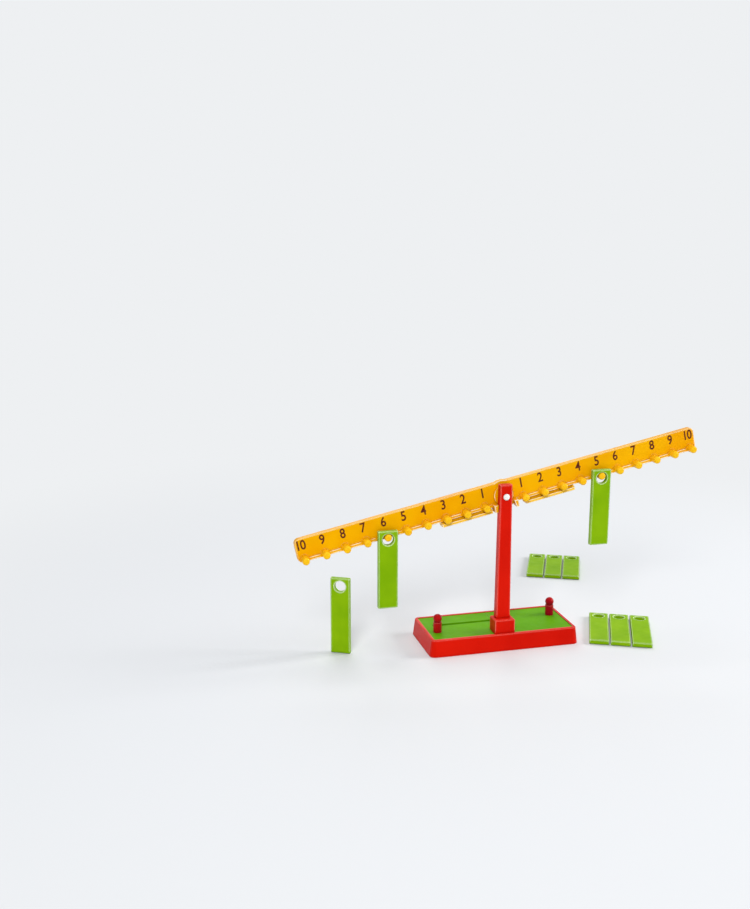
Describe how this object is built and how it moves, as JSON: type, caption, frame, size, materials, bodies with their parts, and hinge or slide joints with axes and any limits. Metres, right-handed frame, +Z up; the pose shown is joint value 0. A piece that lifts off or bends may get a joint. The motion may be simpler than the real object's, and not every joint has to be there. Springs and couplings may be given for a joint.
{
  "type": "math balance",
  "caption": "Plastic teaching balance: a numbered beam tilts on a pillar above a tray base, with weights that hang on its pegs.",
  "frame": {"origin": "middle of the base's underside, on the table top", "axes": "+Z up, +X to the right along the beam as seen from the front, the numbers and pegs face -Y"},
  "size_m": [0.254, 0.1868, 0.13],
  "materials": {
    "red": "gloss",
    "deck_green": "gloss",
    "post_red": "gloss",
    "white": "gloss",
    "yellow": "gloss",
    "light_yellow": "gloss",
    "green": "gloss"
  },
  "bodies": {
    "stand": {"base_tray": "red", "deck_left": "deck_green", "deck_right": "deck_green", "post_left": "post_red", "post_right": "post_red", "pillar": "red", "pivot_pin": "white", "pin_cap": "white"},
    "beam": {"beam": "yellow", "pegs_left": "yellow", "pegs_right": "yellow"},
    "slider_left": {"slider_left": "light_yellow"},
    "slider_right": {"slider_right": "light_yellow"},
    "weight_hung_left": {"weight_hung_left": "green"},
    "weight_hung_right": {"weight_hung_right": "green"},
    "weight_single": {"weight_single": "green"},
    "weight_rear_1": {"weight_rear_1": "green"},
    "weight_rear_2": {"weight_rear_2": "green"},
    "weight_rear_3": {"weight_rear_3": "green"},
    "weight_front_1": {"weight_front_1": "green"},
    "weight_front_2": {"weight_front_2": "green"},
    "weight_front_3": {"weight_front_3": "green"}
  },
  "joints": [
    {"name": "beam_tilt", "type": "hinge", "parent": "stand", "child": "beam", "pos_m": [0, -0.007, 0.095], "axis": [0, 1, 0], "range_deg": [0, 24.6]},
    {"name": "slider_left_slide", "type": "slide", "parent": "beam", "child": "slider_left", "axis": [0.977, 0, 0.213], "range_m": [-0.0046, 0]},
    {"name": "slider_right_slide", "type": "slide", "parent": "beam", "child": "slider_right", "axis": [0.977, 0, 0.213], "range_m": [-0.0046, 0]},
    {"name": "weight_left_swing", "type": "hinge", "parent": "beam", "child": "weight_hung_left", "pos_m": [-0.0723, -0.012, 0.07453], "axis": [0, 1, 0], "range_deg": [-30, 30]},
    {"name": "weight_right_swing", "type": "hinge", "parent": "beam", "child": "weight_hung_right", "pos_m": [0.06205, -0.012, 0.10382], "axis": [0, 1, 0], "range_deg": [-30, 30]},
    {"name": "lift_single", "type": "slide", "parent": "stand", "child": "weight_single", "axis": [0, 0, 1], "range_m": [0, 0.02]},
    {"name": "lift_rear_1", "type": "slide", "parent": "stand", "child": "weight_rear_1", "axis": [0, 0, 1], "range_m": [0, 0.02]},
    {"name": "lift_rear_2", "type": "slide", "parent": "stand", "child": "weight_rear_2", "axis": [0, 0, 1], "range_m": [0, 0.02]},
    {"name": "lift_rear_3", "type": "slide", "parent": "stand", "child": "weight_rear_3", "axis": [0, 0, 1], "range_m": [0, 0.02]},
    {"name": "lift_front_1", "type": "slide", "parent": "stand", "child": "weight_front_1", "axis": [0, 0, 1], "range_m": [0, 0.02]},
    {"name": "lift_front_2", "type": "slide", "parent": "stand", "child": "weight_front_2", "axis": [0, 0, 1], "range_m": [0, 0.02]},
    {"name": "lift_front_3", "type": "slide", "parent": "stand", "child": "weight_front_3", "axis": [0, 0, 1], "range_m": [0, 0.02]}
  ]
}
